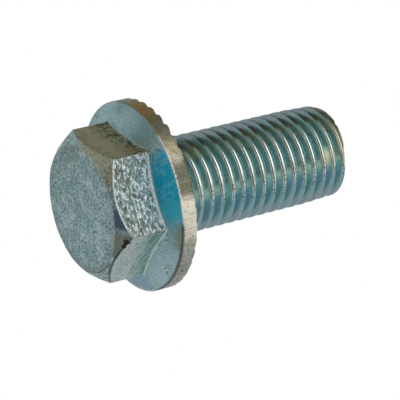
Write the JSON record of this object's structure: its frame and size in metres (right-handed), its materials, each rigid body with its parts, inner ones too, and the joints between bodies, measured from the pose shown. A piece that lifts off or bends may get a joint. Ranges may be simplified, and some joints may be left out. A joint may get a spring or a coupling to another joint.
{
  "type": "hexagon flange bolt",
  "caption": "Hexagon flange bolt with a full-length right-hand thread and a serrated bearing face, zinc plated and passivated blue.",
  "frame": {"origin": "centre of the head's outer face, on the bolt's axis", "axes": "+Z along the axis, from the head's outer face to the thread's tip; the hexagon's corners lie at 0, 60 and 120 degrees from +X and so on. The bolt stands on its head."},
  "size_m": [0.0312, 0.0312, 0.0466],
  "materials": {
    "zinc_plated_steel": "electroplated zinc with a thin blue-green passivation, mottled, with olive-brown patches on the rim and on one side of the head"
  },
  "bodies": {
    "root": {"flange_bolt": "zinc_plated_steel"}
  },
  "joints": []
}
